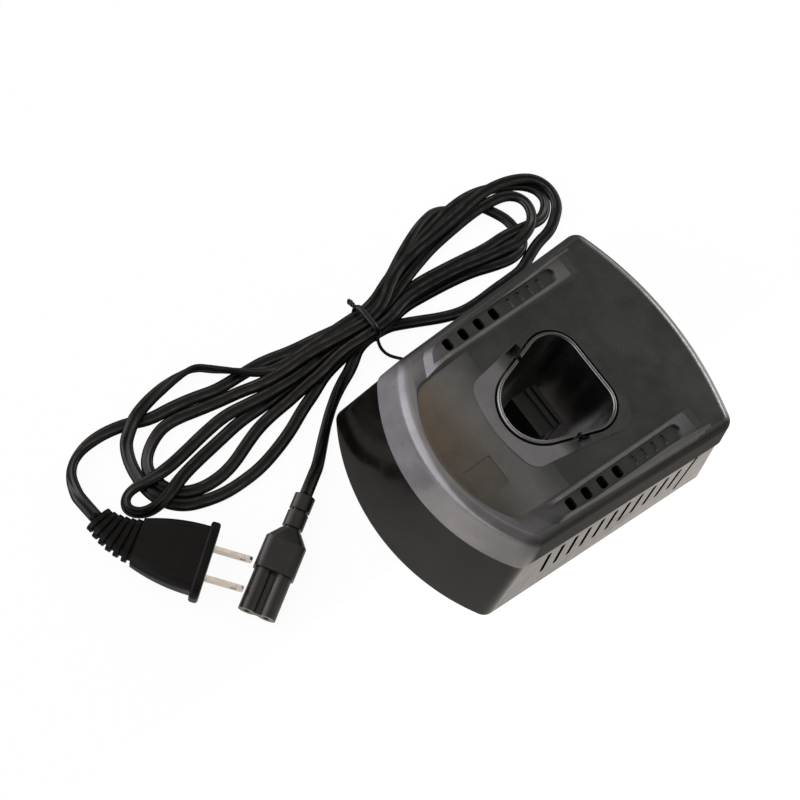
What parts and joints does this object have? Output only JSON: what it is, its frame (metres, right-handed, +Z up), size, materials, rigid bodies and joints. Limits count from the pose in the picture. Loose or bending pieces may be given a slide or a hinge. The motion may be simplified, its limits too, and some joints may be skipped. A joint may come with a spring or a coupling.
{
  "type": "power tool battery charger",
  "caption": "Table-top charger for a stem-type tool battery: wedge-sided case, raised rails with vents round a ramped top, deep keyed well, rear mains inlet and a detached, tied mains lead.",
  "frame": {"origin": "middle of the case's footprint, on the surface that the feet stand on", "axes": "+Z up; the bowed front with the lip and the recessed square faces -Y; the mains inlet faces +Y"},
  "size_m": [0.1762, 0.2798, 0.069],
  "materials": {
    "housing_plastic": "moulded, near-black, fine satin texture",
    "cover_plastic": "moulded, charcoal, smooth satin",
    "well_plastic": "moulded, black, semi-gloss",
    "block_plastic": "glass-filled moulding, black",
    "contact_metal": "nickel-plated spring strip",
    "board_laminate": "green solder mask",
    "core_steel": "varnished laminations",
    "bobbin_plastic": "natural nylon",
    "winding_tape": "yellow polyester tape",
    "capacitor_sleeve": "shrunk sleeve, dark blue",
    "choke_ferrite": "coated ferrite",
    "sink_aluminium": "extruded, plain",
    "chip_plastic": "moulded epoxy",
    "fuse_body": "ceramic tube",
    "inlet_plastic": "moulded, black",
    "pin_metal": "nickel-plated",
    "lead_jacket": "PVC insulation",
    "screw_steel": "zinc-plated",
    "foot_rubber": "moulded rubber",
    "plug_plastic": "overmoulded PVC, matte black",
    "blade_metal": "nickel-plated brass, polished",
    "connector_plastic": "overmoulded PVC, matte black",
    "terminal_brass": "plain",
    "cord_jacket": "extruded PVC, black, satin",
    "tie_plastic": "PVC-coated wire"
  },
  "bodies": {
    "root": {"lower_housing": "housing_plastic", "top_cover": "cover_plastic", "battery_well": "well_plastic", "contact_block": "block_plastic", "charge_contacts": "contact_metal", "sensor_contact": "contact_metal", "circuit_board": "board_laminate", "transformer_core": "core_steel", "transformer_bobbin": "bobbin_plastic", "transformer_winding": "winding_tape", "mains_capacitor": "capacitor_sleeve", "output_capacitors": "capacitor_sleeve", "choke": "choke_ferrite", "heat_sink": "sink_aluminium", "power_transistor": "chip_plastic", "fuse": "fuse_body", "inlet_socket": "inlet_plastic", "inlet_pins": "pin_metal", "inlet_leads": "lead_jacket", "casing_screws": "screw_steel", "board_screws": "screw_steel", "well_screws": "screw_steel", "rubber_feet": "foot_rubber", "plug_body": "plug_plastic", "plug_blades": "blade_metal", "connector_body": "connector_plastic", "connector_terminals": "terminal_brass", "mains_cord_plug_end": "cord_jacket", "mains_cord_connector_end": "cord_jacket", "cord_hank": "cord_jacket", "twist_tie": "tie_plastic"}
  },
  "joints": []
}
